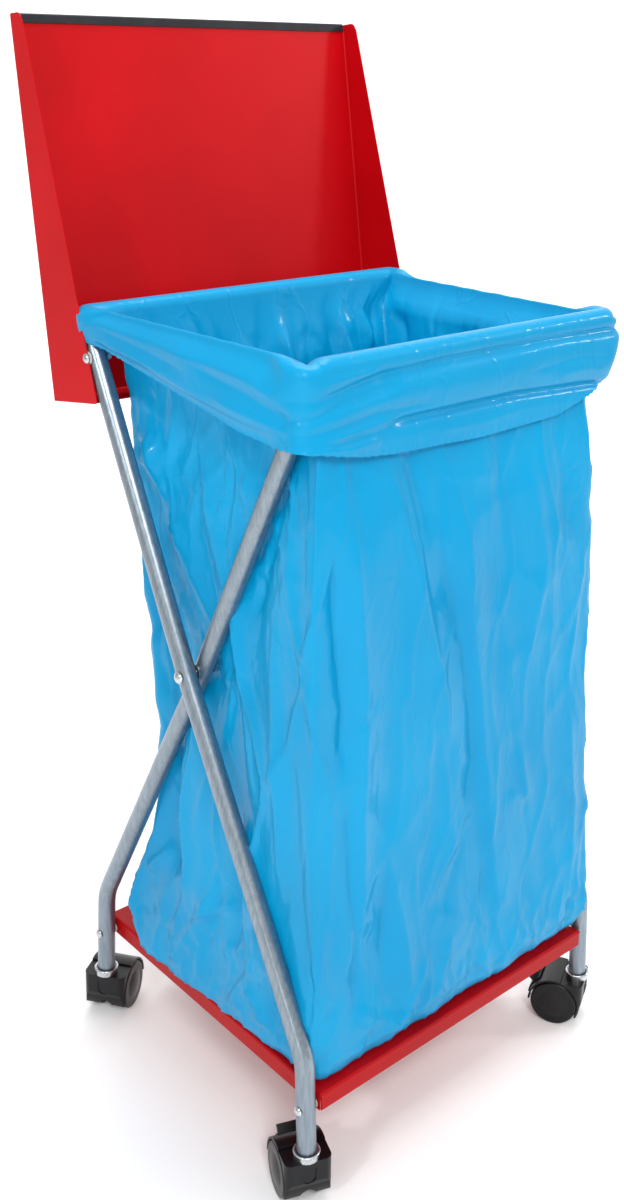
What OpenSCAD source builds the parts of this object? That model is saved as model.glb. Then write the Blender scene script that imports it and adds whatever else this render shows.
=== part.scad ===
// Mobile bin bag holder: two crossed tube frames on four twin-wheel castors,
// a folded sheet base, a folded sheet lid and a film bag hung over the frames.
// The origin is on the floor, midway between the frames. -Y is the front,
// +Z is up, and the lid is hinged at the back (+Y).

/* [Tube frames] */
// Outside diameter of both tubes
tube_d = 18; // [12:0.5:30]
// Wall of both tubes
tube_wall = 1.5; // [1:0.1:3]
// Tube centre to middle, outer frame
outer_half_w = 195.5; // [120:0.5:400]
// Gap between the two frames where they cross
cross_gap = 1; // [0.5:0.1:5]
// Foot of a leg, out from the middle
foot_y = 172; // [100:1:300]
// Lower end of a leg above the floor
foot_z = 55; // [48:0.5:90]
// Knee of a leg, out from the middle
knee_y = 167.5; // [100:0.5:300]
// Knee of a leg above the floor
knee_z = 149; // [120:1:300]
// Crossing screw above the floor
cross_z = 462; // [300:1:700]
// Crossbar, out from the middle
bar_y = 149; // [80:1:250]
// Crossbar above the floor
bar_z = 769; // [500:1:1100]
// Bend radius beside the crossbar, at tube centre
corner_r = 34; // [28:1:36]
// Bend radius at the knee, at tube centre
knee_r = 60; // [40:1:120]
// Bend radius at the crossing, at tube centre
cross_r = 150; // [60:5:300]

/* [Lid] */
// Sheet thickness of the lid
lid_t = 1; // [0.8:0.1:2]
// Gap between outer tube and lid flange
lid_gap = 1.2; // [0.6:0.1:4]
// Lid pivot above the floor
lid_pivot_z = 733; // [450:1:1050]
// Pivot to outer face of the panel
lid_rise = 65.2; // [60:0.1:90]
// Pivot to rear edge of the panel
lid_back = 42; // [36:0.5:60]
// Pivot to front edge of the panel
lid_reach = 312; // [295:1:500]
// Side flange depth at the rear edge
flange_rear = 74; // [72:0.5:100]
// Side flange depth at the front edge
flange_front = 19.5; // [15:0.5:40]
// Rear flange depth, which rests on the legs when open
stop_depth = 68.4; // [30:0.1:68.4]
// Angle between the lid as pictured and level
lid_open = 98.6; // [95:0.1:99]
// Outside radius of the sheet's folds
fold_r = 2.5; // [1.5:0.1:4]
// Height of the black edge trim
trim_h = 8.5; // [6:0.5:15]
// Thickness of the black edge trim
trim_t = 4; // [3:0.1:6]

/* [Base plate] */
// Sheet thickness of the base plate
plate_t = 1.5; // [1:0.1:3]
// Upper face of the base plate above the floor
plate_z = 114; // [108:0.5:130]
// Depth of the turned-down flanges
plate_flange = 17; // [14:0.5:30]
// Front and rear edge, out from the middle
plate_y = 179; // [150:0.5:300]
// Gap between the base plate and each leg
plate_gap = 1; // [0.5:0.1:3]
// Plate screws above the floor
plate_screw_z = 101.5; // [101:0.5:106]

/* [Fasteners] */
// Lid and plate screw diameter
screw_d = 5; // [4:0.5:6]
// Lid and plate screw head diameter
screw_head_d = 9.5; // [8:0.5:12]
// Crossing screw diameter
cross_screw_d = 6; // [5:0.5:8]
// Crossing screw head diameter
cross_head_d = 11.5; // [9:0.5:14]
// Radial clearance of a screw in its hole
screw_clear = 0.1; // [0.05:0.01:0.3]

/* [Castors] */
// Wheel diameter
wheel_d = 50; // [40:1:75]
// Width of one wheel
wheel_w = 17; // [12:0.5:25]
// Width over both wheels
castor_w = 50; // [42:0.5:70]
// Wheel axle behind the swivel axis
castor_offset = 20; // [16:0.5:35]
// Axle pin diameter
axle_d = 6; // [4:0.5:8]
// Stem diameter
stem_d = 8; // [6:0.5:12]
// Stem length inside the leg
stem_up = 26; // [15:1:50]
// Cup washer diameter
cup_d = 25; // [20:0.5:32]
// Stem nut height
nut_h = 3; // [3:0.5:8]
// Running clearance of swivel and axle
run_clear = 0.05; // [0.02:0.01:0.1]
// Gap between hood and wheel tread
hood_gap = 0.9; // [0.6:0.1:2]
// Hood thickness over the wheels
hood_t = 2; // [1.5:0.1:3]
// Swivel of front left castor
swivel_fl = 23; // [-180:1:180]
// Swivel of front right castor
swivel_fr = -27; // [-180:1:180]
// Swivel of rear left castor
swivel_rl = 58; // [-180:1:180]
// Swivel of rear right castor
swivel_rr = 24; // [-180:1:180]

/* [Bag] */
// Thickness the film is drawn with
film_t = 0.4; // [0.3:0.1:0.6]
// Clearance of the film round the tubes
film_gap = 0.5; // [0.4:0.05:0.6]
// Front hem of the cuff above the floor
hem_front = 688; // [500:1:740]
// Rear hem of the cuff above the floor
hem_rear = 746; // [742:1:755]
// Half width of the filled-out bag
bag_half_w = 166; // [120:1:166]
// Half depth of the filled-out bag
bag_half_d = 160; // [130:1:162]
// Round of the bag's lower edge
bag_round = 22; // [10:1:60]

/* [Hidden] */
inner_half_w = outer_half_w - tube_d - cross_gap;
tube_r = tube_d / 2;
bore_r = tube_r - tube_wall;
lid_pivot_y = bar_y * (lid_pivot_z - cross_z) / (bar_z - cross_z);
lid_in = outer_half_w + tube_r + lid_gap;
lid_out = lid_in + lid_t;
leg_y = foot_y - (foot_y - knee_y) * (plate_screw_z - foot_z) / (knee_z - foot_z);
plate_w_front = outer_half_w - tube_r - plate_gap;
plate_w_rear = inner_half_w - tube_r - plate_gap;
plate_slope = (plate_w_front - plate_w_rear) / (2 * leg_y);
plate_skew = atan(plate_slope);
plate_mid_w = (plate_w_front + plate_w_rear) / 2;
head_h = 3;
cross_head_h = 3.6;
nut_af = 8;
nut_t = 4;
cross_nut_af = 10;
cross_nut_t = 4.5;
stem_nut_af = 14;
cup_t = 1.5;
cup_rise = 6;
axle_z = wheel_d / 2;
hood_top = foot_z - nut_h - cup_t;
wheel_out = castor_w / 2;
wheel_in = wheel_out - wheel_w;
web_half = wheel_in - 0.8;
hood_in_r = wheel_d / 2 + hood_gap;
hood_out_r = hood_in_r + hood_t;
hood_half_w = wheel_out - 2.5;
socket_z = 31;
pedal_pivot_a = 42;
pedal_half_w = 15;
pedal_pin_d = 3;
pedal_r = hood_in_r + 1;
pedal_end_a = 108;
insert_h = 30;
leg_lean = atan((foot_y - knee_y) / (knee_z - foot_z));
fine = 48;
mid = 32;
low = 24;
eps = 0.01;
lap = 0.5;
swell = 0.03;
rim_r = tube_r + film_gap;

function unit(v) = v / norm(v);
function bend_angle(a, b) = acos(a * b);
function dir(pts, i) = unit(pts[i + 1] - pts[i]);
function setback(pts, rad, i) =
  i == 0 || i == len(pts) - 1 ? 0 : rad[i] * tan(bend_angle(dir(pts, i - 1), dir(pts, i)) / 2);

// Puts its children in the frame with the given origin and axes.
module on_axes(o, x, y, z) {
  multmatrix([
    [x.x, y.x, z.x, o.x],
    [x.y, y.y, z.y, o.y],
    [x.z, y.z, z.z, o.z],
    [0, 0, 0, 1]
  ]) children();
}

// A round bar along a line of points, with a bend of rad[i] at point i.
// side[i] is square to segment i and turns its facets to match the bends.
// Straight lengths reach a little into the bends, which are a hair thicker.
module bent_bar(pts, rad, side, r) {
  for (i = [0 : len(pts) - 2]) {
    d = dir(pts, i);
    a = pts[i] + max(0, setback(pts, rad, i) - lap) * d;
    b = pts[i + 1] - max(0, setback(pts, rad, i + 1) - lap) * d;
    on_axes(a, side[i], cross(d, side[i]), d) cylinder(h = norm(b - a), r = r, $fn = low);
  }
  for (i = [1 : len(pts) - 2]) {
    d1 = dir(pts, i - 1);
    d2 = dir(pts, i);
    a = bend_angle(d1, d2);
    n = unit(d2 - (d1 * d2) * d1);
    c = pts[i] - setback(pts, rad, i) * d1 + rad[i] * n;
    on_axes(c, -n, d1, cross(-n, d1))
      rotate_extrude(angle = a, $fn = a > 60 ? low : mid) translate([rad[i], 0]) circle(r + swell, $fn = low);
  }
}

// Points of one frame's centre line, foot to foot. more lengthens both ends.
function frame_pts(w, more) =
  let (f = [-w, -foot_y, foot_z], k = [-w, -knee_y, knee_z], e = f + more * unit(f - k))
  [
    e, k, [-w, 0, cross_z], [-w, bar_y, bar_z],
    [w, bar_y, bar_z], [w, 0, cross_z], [w, -knee_y, knee_z], [-e.x, e.y, e.z]
  ];

module frame_bar(w, r, more) {
  pts = frame_pts(w, more);
  up = unit([0, bar_y, bar_z - cross_z]);
  x = [1, 0, 0];
  bent_bar(
    pts,
    [0, knee_r, cross_r, corner_r, corner_r, cross_r, knee_r, 0],
    [x, x, x, up, x, x, x],
    r
  );
}

// Both legs' cross holes at one place.
module leg_holes(w, y, z, d) {
  for (s = [-1, 1]) {
    translate([s * w, y, z]) rotate([0, 90, 0]) cylinder(h = tube_d + 4, d = d, center = true, $fn = low);
  }
}

module leg_ends(w) {
  for (s = [-1, 1]) {
    translate([s * w, -foot_y, foot_z - 10]) cube([2 * tube_d, 2 * tube_d, 20], center = true);
  }
}

module outer_frame() {
  color([0.62, 0.66, 0.69]) difference() {
    frame_bar(outer_half_w, tube_r, 0.6);
    frame_bar(outer_half_w, bore_r, 3);
    leg_ends(outer_half_w);
    leg_holes(outer_half_w, 0, cross_z, cross_screw_d + 2 * screw_clear);
    leg_holes(outer_half_w, lid_pivot_y, lid_pivot_z, screw_d + 2 * screw_clear);
    leg_holes(outer_half_w, -leg_y, plate_screw_z, screw_d + 2 * screw_clear);
  }
}

module inner_frame() {
  color([0.58, 0.62, 0.66]) mirror([0, 1, 0]) difference() {
    frame_bar(inner_half_w, tube_r, 0.6);
    frame_bar(inner_half_w, bore_r, 3);
    leg_ends(inner_half_w);
    leg_holes(inner_half_w, 0, cross_z, cross_screw_d + 2 * screw_clear);
    leg_holes(inner_half_w, -leg_y, plate_screw_z, screw_d + 2 * screw_clear);
  }
}

// A rectangle from [0, 0] to [w, h] whose upper right corner has radius r.
module one_round(w, h, r) {
  square([w, h - r]);
  square([w - r, h]);
  translate([w - r, h - r]) circle(r, $fn = fine);
}

// One half of the plate's width: a bar along the skewed side.
module side_block(s, g, h, r) {
  long = 3 * plate_y;
  mirror([s < 0 ? 1 : 0, 0, 0]) translate([plate_mid_w - g / cos(plate_skew), 0, plate_z - g - h])
    rotate([0, 0, plate_skew]) translate([0, long / 2, 0]) rotate([90, 0, 0])
      linear_extrude(long) translate([-3 * outer_half_w, 0]) one_round(3 * outer_half_w, h, r);
}

module plate_relief(s, t) {
  w = plate_mid_w - t * plate_slope * plate_y;
  translate([s * w, t * plate_y, plate_z - fold_r - 0.5 - plate_flange])
    cube([3.4, 3.4, 2 * plate_flange], center = true);
}

module base_plate() {
  color([0.68, 0.08, 0.11]) difference() {
    intersection() {
      plate_half(1, 0);
      plate_half(-1, 0);
      side_block(1, 0, plate_flange, fold_r);
      side_block(-1, 0, plate_flange, fold_r);
    }
    intersection() {
      plate_half(1, plate_t);
      plate_half(-1, plate_t);
      side_block(1, plate_t, 2 * plate_flange, fold_r - plate_t);
      side_block(-1, plate_t, 2 * plate_flange, fold_r - plate_t);
    }
    for (s = [-1, 1], t = [-1, 1]) {
      plate_relief(s, t);
    }
    for (s = [-1, 1], t = [-1, 1]) {
      translate([s * plate_mid_w, t * leg_y, plate_screw_z]) rotate([0, 90, 0])
        cylinder(h = 4 * tube_d, d = screw_d + 2 * screw_clear, center = true, $fn = low);
    }
  }
}

// The plate's block up to its front or rear edge, with that fold rounded.
module plate_half(s, g) {
  h = g > 0 ? 2 * plate_flange : plate_flange;
  wide = 3 * outer_half_w;
  back = 3 * plate_y;
  mirror([0, s < 0 ? 1 : 0, 0]) translate([-wide / 2, -back, plate_z - g - h])
    rotate([90, 0, 90]) linear_extrude(wide) one_round(back + plate_y - g, h, fold_r - g);
}

// The lid lies flat here, pivot at the origin and front edge towards -Y.
module lid_side_shape(g) {
  more = g > 0 ? 20 : 0;
  translate([-lid_reach - more, lid_rise - flange_rear - 2 * more])
    one_round(lid_reach + more + lid_back - g, flange_rear + 2 * more - g, fold_r - g);
}

module lid_end_shape(g) {
  h = flange_rear + (g > 0 ? 20 : 0) - g;
  w = lid_out - g;
  for (s = [0, 1]) {
    mirror([s, 0]) translate([-1, lid_rise - g - h]) one_round(w + 1, h, fold_r - g);
  }
}

module lid_block(g) {
  wide = 2 * lid_out + 2;
  long = 2 * lid_reach;
  intersection() {
    translate([-wide / 2, 0, 0]) rotate([90, 0, 90]) linear_extrude(wide) lid_side_shape(g);
    translate([0, lid_back + 2, 0]) rotate([90, 0, 0]) linear_extrude(long) lid_end_shape(g);
  }
}

// What stays of the side flanges: their tapered outline with round corners.
module flange_shape() {
  r1 = 4;
  r2 = 7;
  low_y = lid_rise - flange_rear;
  front_y = lid_rise - flange_front;
  taper = atan((front_y - low_y) / (lid_reach + lid_back));
  difference() {
    translate([-lid_reach - 1, low_y]) square([lid_reach + lid_back + 1, flange_rear + 1]);
    translate([-lid_reach - 2, front_y]) rotate(-taper) translate([-20, -80])
      square([2 * lid_reach, 80 + 2 * tan(taper)]);
    translate([lid_back - r1, low_y - eps]) difference() {
      square([r1 + 1, r1]);
      translate([0, r1]) circle(r1, $fn = mid);
    }
    translate([-lid_reach - 1, front_y - 1]) difference() {
      square([r2 + 1, r2 + 1]);
      translate([r2 + 1, r2 + 1]) circle(r2, $fn = mid);
    }
  }
}

module lid_flat() {
  difference() {
    intersection() {
      lid_block(0);
      translate([-lid_out - 1, 0, 0]) rotate([90, 0, 90]) linear_extrude(2 * lid_out + 2) flange_shape();
    }
    lid_block(lid_t);
    translate([-lid_in + 1, lid_back - 3, lid_rise - stop_depth - 60]) cube([2 * lid_in - 2, 6, 60]);
    for (s = [-1, 1]) {
      translate([s * (lid_in - 0.5), lid_back - lid_t, lid_rise - fold_r - 50])
        cube([2, 4, 100], center = true);
    }
    rotate([0, 90, 0]) cylinder(h = 3 * lid_out, d = screw_d + 2 * screw_clear, center = true, $fn = low);
  }
}

// Places a piece of the lid where the open lid holds it.
module at_lid() {
  translate([0, lid_pivot_y, lid_pivot_z]) rotate([-lid_open, 0, 0]) children();
}

module lid() {
  color([0.85, 0.04, 0.09]) at_lid() lid_flat();
}

module lid_edge_trim() {
  slot = lid_t + 0.1;
  mid_z = lid_rise - lid_t / 2;
  lip = 1.3;
  color([0.09, 0.09, 0.11]) at_lid() translate([-lid_in + 1.7, 0, 0]) rotate([90, 0, 90])
    linear_extrude(2 * lid_in - 3.4) difference() {
      union() {
        translate([-lid_reach - lip + trim_t / 2, mid_z - trim_t / 2]) square([trim_h - trim_t / 2, trim_t]);
        translate([-lid_reach - lip + trim_t / 2, mid_z]) circle(trim_t / 2, $fn = mid);
      }
      translate([-lid_reach - 0.05, mid_z - slot / 2]) square([trim_h + 2, slot]);
    }
}

// A pan head screw along +X: the underside of its head is at the origin.
module pan_screw(d, head_d, h, long) {
  rotate([0, 90, 0]) union() {
    cylinder(h = long, d = d, $fn = low);
    translate([0, 0, -h]) intersection() {
      cylinder(h = h, d = head_d, $fn = low);
      translate([0, 0, head_d * 0.62]) sphere(r = head_d * 0.62, $fn = low);
    }
  }
}

// A hex nut along +X with its near face at the origin.
module hex_nut(d, af, t) {
  rotate([0, 90, 0]) difference() {
    cylinder(h = t, d = af / cos(30), $fn = 6);
    translate([0, 0, -1]) cylinder(h = t + 2, d = d + 0.04, $fn = low);
  }
}

module on_side(s) {
  if (s < 0) {
    children();
  } else {
    mirror([1, 0, 0]) children();
  }
}

module zinc() {
  color([0.75, 0.77, 0.79]) children();
}

module lid_screw(s) {
  long = lid_out - outer_half_w + tube_r + nut_t + 1;
  zinc() on_side(s) translate([-lid_out, lid_pivot_y, lid_pivot_z])
    pan_screw(screw_d, screw_head_d, head_h, long);
}

module lid_nut(s) {
  zinc() on_side(s) translate([-outer_half_w + tube_r, lid_pivot_y, lid_pivot_z])
    hex_nut(screw_d, nut_af, nut_t);
}

module crossing_screw(s) {
  long = outer_half_w - inner_half_w + tube_d + cross_nut_t + 0.8;
  zinc() on_side(s) translate([-outer_half_w - tube_r, 0, cross_z])
    pan_screw(cross_screw_d, cross_head_d, cross_head_h, long);
}

module crossing_nut(s) {
  zinc() on_side(s) translate([-inner_half_w + tube_r, 0, cross_z])
    hex_nut(cross_screw_d, cross_nut_af, cross_nut_t);
}

// A flat nylon washer along +X with its near face at the origin.
module flat_washer(d, outer, t) {
  color([0.85, 0.85, 0.82]) rotate([0, 90, 0]) difference() {
    cylinder(h = t, d = outer, $fn = mid);
    translate([0, 0, -1]) cylinder(h = t + 2, d = d + 2 * screw_clear, $fn = low);
  }
}

module crossing_washer(s) {
  on_side(s) translate([-outer_half_w + tube_r, 0, cross_z]) flat_washer(cross_screw_d, 14, cross_gap);
}

module lid_washer(s) {
  on_side(s) translate([-lid_in, lid_pivot_y, lid_pivot_z]) flat_washer(screw_d, 12, lid_gap);
}

// Plate screws pass through a leg and the plate's flange. t is -1 in front.
function plate_w_at(t) = t < 0 ? plate_w_front : plate_w_rear;

module plate_screw(s, t) {
  w = t < 0 ? outer_half_w : inner_half_w;
  long = w + tube_r - plate_w_at(t) + plate_t + nut_t + 1.2;
  zinc() on_side(s) translate([-w - tube_r, t * leg_y, plate_screw_z])
    pan_screw(screw_d, screw_head_d, head_h, long);
}

module plate_nut(s, t) {
  seat = plate_t / cos(plate_skew) + nut_af / 2 * tan(plate_skew) + 0.05;
  zinc() on_side(s) translate([-plate_w_at(t) + seat, t * leg_y, plate_screw_z])
    hex_nut(screw_d, nut_af, nut_t);
}

// The spacer's inner face follows the flange's slant.
module plate_spacer(s, t) {
  w = t < 0 ? outer_half_w : inner_half_w;
  reach = plate_gap + 5 * tan(plate_skew);
  on_side(s) difference() {
    translate([-w + tube_r, t * leg_y, plate_screw_z]) flat_washer(screw_d, 10, reach + 1);
    translate([-plate_mid_w, 0, plate_screw_z]) rotate([0, 0, -plate_skew])
      translate([0, -2 * plate_y, -20]) cube([20, 4 * plate_y, 40]);
  }
}

// Places a castor's piece under a leg: x is -1 left, y is -1 front.
module at_castor(x, y, swivel) {
  w = y < 0 ? outer_half_w : inner_half_w;
  translate([x * w, y * foot_y, 0]) rotate([0, 0, -swivel]) children();
}

module stem() {
  zinc() union() {
    translate([0, 0, socket_z + 1]) cylinder(h = foot_z + stem_up - socket_z - 1, d = stem_d, $fn = low);
    translate([0, 0, foot_z - nut_h]) cylinder(h = nut_h, d = stem_nut_af / cos(30), $fn = 6);
  }
}

// The insert follows the lean of its leg. t is -1 in front.
module leg_insert(t) {
  color([0.3, 0.31, 0.33]) difference() {
    translate([0, 0, foot_z]) rotate([t * leg_lean, 0, 0]) translate([0, 0, -2])
      cylinder(h = insert_h + 2, r = bore_r - 0.1, $fn = low);
    translate([0, 0, foot_z - 1]) cylinder(h = stem_up + 1.5, d = stem_d + 0.04, $fn = low);
    translate([-20, -20, foot_z - 10]) cube([40, 40, 10]);
  }
}

module cup_washer() {
  r = cup_d / 2;
  color([0.7, 0.72, 0.74]) rotate_extrude($fn = fine) difference() {
    union() {
      translate([stem_d / 2 + 0.1, hood_top]) square([r - 3 - stem_d / 2, cup_t]);
      translate([r - 3, hood_top]) square([2.2, cup_rise]);
      translate([r - 1.1, hood_top + cup_rise]) circle(1.1, $fn = low);
    }
    translate([r - 2.9 - 3, hood_top + cup_t]) square([3.4, 10]);
    translate([r - 1.2 + 0.4, hood_top - 3]) rotate(-14) square([3, cup_rise + 2.4]);
  }
}

// The side view of the hood: Y is backwards from the swivel, Z is up.
module hood_outline() {
  difference() {
    union() {
      translate([castor_offset, axle_z]) circle(hood_out_r, $fn = fine);
      translate([-9.5, axle_z + 4]) square([castor_offset, hood_top - axle_z - 4]);
      translate([-9.5 + 4, axle_z - 9]) square([castor_offset, 14]);
      polygon([[-9.5, axle_z + 4], [-9.5 + 4.2, axle_z - 9], [6, axle_z - 9], [6, axle_z + 4]]);
    }
    translate([castor_offset, axle_z - 40]) square([60, 40]);
    translate([-40, axle_z - 60]) square([castor_offset + 40.1, 48]);
    translate([-40, hood_top]) square([40 + cup_d / 2 + 1.2, 20]);
  }
}

module hood_web() {
  intersection() {
    hood_outline();
    union() {
      translate([-30, axle_z - 2]) square([90, 60]);
      translate([-30, axle_z - 12]) square([42, 40]);
    }
  }
  translate([castor_offset, axle_z]) circle(6, $fn = low);
}

module side_slab(half, z = 0) {
  translate([-half, 0, 0]) rotate([90, 0, 90]) linear_extrude(2 * half) children();
}

// What rounds off the hood's two upright front corners, seen from above.
module front_corners() {
  r = 7;
  for (s = [-1, 1]) {
    translate([s * (hood_half_w - r), -9.5 + r, -1]) rotate([0, 0, s < 0 ? 180 : 270]) difference() {
      cube([r + 1, r + 1, hood_top + 10]);
      translate([0, 0, -1]) cylinder(h = hood_top + 12, r = r, $fn = mid);
    }
  }
}

module hood(brake) {
  notch_w = 14;
  color([0.06, 0.06, 0.07]) difference() {
    union() {
      difference() {
        side_slab(hood_half_w) hood_outline();
        side_slab(hood_half_w + 5) translate([castor_offset, axle_z]) circle(hood_in_r, $fn = fine);
        front_corners();
      }
      side_slab(web_half) hood_web();
    }
    translate([0, 0, socket_z]) cylinder(h = 40, d = stem_d + 2 * run_clear, $fn = fine);
    translate([0, castor_offset, axle_z]) rotate([0, 90, 0])
      cylinder(h = 80, d = axle_d + 0.02, center = true, $fn = low);
    translate([0, -10, axle_z - 13]) rotate([90, 0, 0])
      cylinder(h = 30, d = notch_w, center = true, $fn = low);
    translate([0, -10.6, axle_z + 9]) rotate([90, 0, 0]) cylinder(h = 4, d = 13, center = true, $fn = low);
    translate([-6.5, -12.6, axle_z + 9]) cube([13, 4, 9]);
    if (brake) {
      pedal_window();
    }
  }
}

// A place on the circle round the axle, a degrees back from straight up.
module on_tread(a, r) {
  translate([0, castor_offset, axle_z]) rotate([-a, 0, 0]) translate([0, 0, r]) children();
}

module pedal_window() {
  difference() {
    side_slab(pedal_half_w + 0.8) translate([castor_offset, axle_z])
      sector(hood_out_r + 8, pedal_pivot_a - 9, 92);
    side_slab(web_half) translate([castor_offset, axle_z]) circle(hood_in_r - 3.2, $fn = fine);
  }
  on_tread(pedal_pivot_a, pedal_r) rotate([0, 90, 0])
    cylinder(h = 2 * pedal_half_w + 5, d = pedal_pin_d + 0.1, center = true, $fn = low);
}

// A pie slice between two angles measured back from straight up.
module sector(r, a1, a2) {
  m = (a1 + a2) / 2;
  k = 1.6 * r;
  intersection() {
    circle(r, $fn = fine);
    polygon([[0, 0], [k * sin(a1), k * cos(a1)], [k * sin(m), k * cos(m)], [k * sin(a2), k * cos(a2)]]);
  }
}

module brake_pedal() {
  r0 = hood_in_r + 0.1;
  r1 = hood_out_r + 1.6;
  color([0.07, 0.07, 0.08]) union() {
    side_slab(pedal_half_w) translate([castor_offset, axle_z]) difference() {
      sector(r1, pedal_pivot_a - 5, 84);
      circle(r0 + 0.9, $fn = fine);
    }
    on_tread(56, hood_out_r) rotate([12, 0, 0]) translate([-pedal_half_w + 2, -1.5, 0])
      cube([2 * pedal_half_w - 4, 3, 9.5]);
    on_tread(pedal_pivot_a, pedal_r) rotate([0, 90, 0])
      cylinder(h = 2 * pedal_half_w + 4.4, d = pedal_pin_d, center = true, $fn = low);
  }
}

module axle() {
  zinc() translate([0, castor_offset, axle_z]) rotate([0, 90, 0])
    cylinder(h = 2 * (wheel_out - 5), d = axle_d, center = true, $fn = low);
}

// One wheel on the +X side: a moulded disc with a domed face and a blind hub.
module wheel() {
  r = wheel_d / 2;
  color([0.08, 0.08, 0.09]) translate([0, castor_offset, axle_z]) rotate([0, 90, 0])
    rotate_extrude($fn = fine) difference() {
      union() {
        translate([0, wheel_in]) square([r - 1, wheel_w - 3]);
        translate([0, wheel_in + 1]) square([r, wheel_w - 5.5]);
        translate([r - 1, wheel_in + 1]) circle(1, $fn = low);
        translate([r - 2.5, wheel_out - 4.5]) circle(2.5, $fn = low);
        translate([0, wheel_in + 2]) square([r - 2.5, wheel_w - 4]);
        intersection() {
          translate([0, wheel_out - 60]) circle(60, $fn = 160);
          translate([0, wheel_in + 2]) square([r - 5, wheel_w]);
        }
      }
      translate([-eps, wheel_in - 1]) square([axle_d / 2 + run_clear, wheel_w - 3]);
      translate([7, wheel_in - 1]) square([r - 7 - 3, wheel_w - 6]);
    }
}

module wheel_side(side) {
  if (side > 0) {
    wheel();
  } else {
    mirror([1, 0, 0]) wheel();
  }
}

// The bag. The rim follows the crossbars and runs straight between them.
corner_n = 5;
side_n = 5;
bar_n = 5;
lean = atan(bar_y / (bar_z - cross_z));
corner_back = corner_r * sin(lean);

function corner_pt(w, y, q) =
  let (a = 90 * q)
  [-(w - corner_r) - corner_r * sin(a), y * (bar_y - corner_back * (1 - cos(a)))];

// Half of the rim in plan, rear middle to front middle on the left side.
function rim_half() = concat(
  [for (i = [0 : bar_n - 1]) [-(outer_half_w - corner_r) * i / bar_n, bar_y]],
  [for (i = [0 : corner_n - 1]) corner_pt(outer_half_w, 1, i / corner_n)],
  [for (i = [0 : side_n - 1])
    let (q = i / side_n, r = lerp(0, 1, (i - 1) / (side_n - 1)))
    [-outer_half_w + (outer_half_w - inner_half_w) * r, (bar_y - corner_back) * (1 - 2 * q)]],
  [for (i = [0 : corner_n - 1]) corner_pt(inner_half_w, -1, 1 - i / corner_n)],
  [for (i = [0 : bar_n - 1]) [-(inner_half_w - corner_r) * (1 - i / bar_n), -bar_y]]
);

function rim_loop() =
  let (h = rim_half(), n = len(h))
  concat(h, [[0, -bar_y]], [for (i = [n - 1 : -1 : 1]) [-h[i].x, h[i].y]]);

function rim_normal(p, i) =
  let (n = len(p), a = unit(p[(i + 1) % n] - p[i]), b = unit(p[i] - p[(i + n - 1) % n]))
  let (t = (a + b) / (1 + a * b))
  [t.y, -t.x];

// Half sizes of the filled-out film by height: front, back and side.
function lerp(a, b, q) = a + (b - a) * max(0, min(1, q));
bag_front = [
  [114, 0], [150, 18], [240, 18], [360, 14], [480, 8], [600, 2], [660, -3], [700, -12], [735, -20]
];
bag_rear = [
  [114, -35], [150, -28], [180, -34], [240, -52], [300, -58],
  [360, -56], [460, -46], [600, -38], [690, -42], [735, -28]
];
bag_side = [
  [114, 2], [140, 14], [180, 10], [240, 4], [300, 0],
  [400, 0], [440, -6], [484, -6], [524, 0], [735, 0]
];

function body_pt(c, z) =
  let (w = bag_half_w + lookup(z, bag_side), d = bag_half_d + lookup(z, c.y < 0 ? bag_front : bag_rear))
  let (u = c.x / outer_half_w, v = c.y / bar_y, m = pow(pow(abs(u), 7) + pow(abs(v), 7), 1 / 7))
  [w * u / m, d * v / m];

function hem_z(c) = lerp(hem_front, hem_rear, (c.y + bar_y) / (2 * bar_y - corner_back));

body_zs = [735, 700, 660, 600, 524, 484, 440, 400, 300, 240, 180, 150];
floor_z = plate_z + 0.3;

function ring(g, inset, z) = [for (v = g) let (u = unit(v)) [v.x - u.x * inset, v.y - u.y * inset, z]];
function rim_ring(p, off, z) = [for (i = [0 : len(p) - 1])
  let (n = rim_normal(p, i))
  [p[i].x + off * n.x, p[i].y + off * n.y, z]];
function body_ring(p, inset, z) = ring([for (c = p) body_pt(c, z)], inset, z);
function hem_ring(p, off, q) = [for (i = [0 : len(p) - 1])
  let (n = rim_normal(p, i), h = hem_z(p[i]))
  [p[i].x + off * n.x, p[i].y + off * n.y, lerp(bar_z, h, q)]];

// Rings of the film from the middle of the floor outside to the hem, and back inside.
function film_rings(p) =
  let (a = rim_r, b = rim_r + film_t, base = [for (c = p) body_pt(c, floor_z + bag_round)])
  let (t = film_t)
  concat(
    [for (f = [0.5]) ring([for (g = base) f * g], 0, floor_z)],
    [for (q = [0 : 3]) ring(base, bag_round * (1 - sin(30 * q)), floor_z + bag_round * (1 - cos(30 * q)))],
    [for (i = [len(body_zs) - 1 : -1 : 0]) body_ring(p, 0, body_zs[i])],
    [rim_ring(p, -a, bar_z - 12), rim_ring(p, -a, bar_z)],
    [for (s = [30 : 30 : 150]) rim_ring(p, -a * cos(s), bar_z + a * sin(s))],
    [rim_ring(p, a, bar_z), hem_ring(p, a, 0.5), hem_ring(p, a, 1)],
    [hem_ring(p, b, 1), hem_ring(p, b, 0.5), rim_ring(p, b, bar_z)],
    [for (s = [150 : -30 : 30]) rim_ring(p, -b * cos(s), bar_z + b * sin(s))],
    [rim_ring(p, -b, bar_z), rim_ring(p, -b, bar_z - 12)],
    [for (i = [0 : len(body_zs) - 1]) body_ring(p, t, body_zs[i])],
    [for (q = [3 : -1 : 0])
      ring(base, t + (bag_round - t) * (1 - sin(30 * q)), floor_z + t + (bag_round - t) * (1 - cos(30 * q)))],
    [for (f = [0.5]) ring([for (g = base) f * g], 0, floor_z + t)]
  );

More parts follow.
